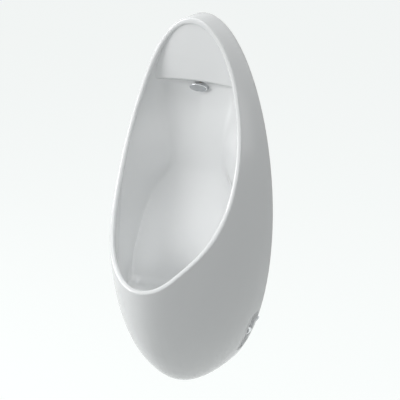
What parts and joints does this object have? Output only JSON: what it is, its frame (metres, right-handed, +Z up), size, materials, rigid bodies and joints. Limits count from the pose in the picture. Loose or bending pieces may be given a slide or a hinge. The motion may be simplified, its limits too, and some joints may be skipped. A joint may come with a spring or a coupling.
{
  "type": "wall hung urinal",
  "caption": "Tall egg-shaped wall hung urinal in glazed china, with a flush spreader, a lift-out waste trap, hidden inlet and outlet, and hooked wall fixings.",
  "frame": {"origin": "on the wall's face, on the centre line, at the height of the lowest point of the china", "axes": "+Y into the wall, so the user stands at -Y; +X to the user's right; +Z up"},
  "size_m": [0.2916, 0.3355, 0.7399],
  "materials": {
    "china": "gloss",
    "chrome": "polished",
    "brass": "satin",
    "steel": "satin",
    "rubber": "matte",
    "white_plastic": "matte"
  },
  "bodies": {
    "root": {"ceramic_body": "china", "spreader_cap": "chrome", "spreader_front_washer": "rubber", "spreader_stem": "brass", "spreader_rear_washer": "rubber", "spreader_slip_washer": "white_plastic", "spreader_lock_nut": "brass", "inlet_coupling_nut": "chrome", "inlet_cone_seal": "rubber", "inlet_tail_pipe": "chrome", "waste_top_seal": "rubber", "waste_collar": "chrome", "trap_gasket": "rubber", "trap_cup": "white_plastic", "outlet_slip_nut": "white_plastic", "outlet_slip_seal": "rubber", "outlet_pipe": "white_plastic", "outlet_wall_seal": "rubber", "hanger_right": "steel", "hanger_left": "steel", "hanger_pads": "rubber", "hanger_washers": "steel", "hanger_screws": "steel", "lower_sleeves": "white_plastic", "lower_washers": "steel", "lower_screws": "steel", "lower_caps": "chrome"},
    "trap_insert": {"trap_insert": "white_plastic", "trap_insert_seal": "rubber"},
    "strainer": {"strainer": "chrome"}
  },
  "joints": [
    {"name": "trap_insert_lift", "type": "slide", "parent": "root", "child": "trap_insert", "axis": [0, 0, 1], "range_m": [0, 0.11]},
    {"name": "strainer_lift", "type": "slide", "parent": "trap_insert", "child": "strainer", "axis": [0, 0, 1], "range_m": [0, 0.05]}
  ]
}
